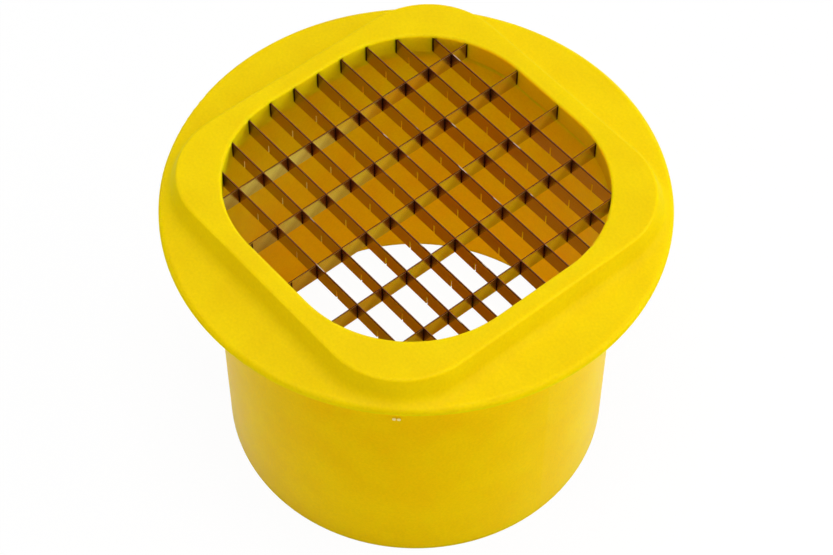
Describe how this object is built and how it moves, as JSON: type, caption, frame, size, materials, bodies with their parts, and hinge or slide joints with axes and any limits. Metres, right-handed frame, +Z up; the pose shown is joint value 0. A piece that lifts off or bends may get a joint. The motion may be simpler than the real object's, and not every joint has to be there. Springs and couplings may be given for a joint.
{
  "type": "french fry cutter",
  "caption": "Drop-through french fry cutter: a round flanged plastic tube with a raised square collar and a fixed grid of steel blades across its mouth.",
  "frame": {"origin": "centre of the tube's foot, on the surface the cutter stands on", "axes": "+Z up along the tube, against the way the potato goes; +X along the long blades, +Y along the cross blades"},
  "size_m": [0.1668, 0.1668, 0.1197],
  "materials": {
    "yellow_plastic": "smooth moulded, a little translucent",
    "blade_steel": "rolled strip with a ground top edge"
  },
  "bodies": {
    "root": {"top_frame": "yellow_plastic", "guide_tube": "yellow_plastic", "long_blade_01": "blade_steel", "long_blade_02": "blade_steel", "long_blade_03": "blade_steel", "long_blade_04": "blade_steel", "long_blade_05": "blade_steel", "long_blade_06": "blade_steel", "long_blade_07": "blade_steel", "long_blade_08": "blade_steel", "long_blade_09": "blade_steel", "long_blade_10": "blade_steel", "cross_blade_01": "blade_steel", "cross_blade_02": "blade_steel", "cross_blade_03": "blade_steel", "cross_blade_04": "blade_steel", "cross_blade_05": "blade_steel"}
  },
  "joints": []
}
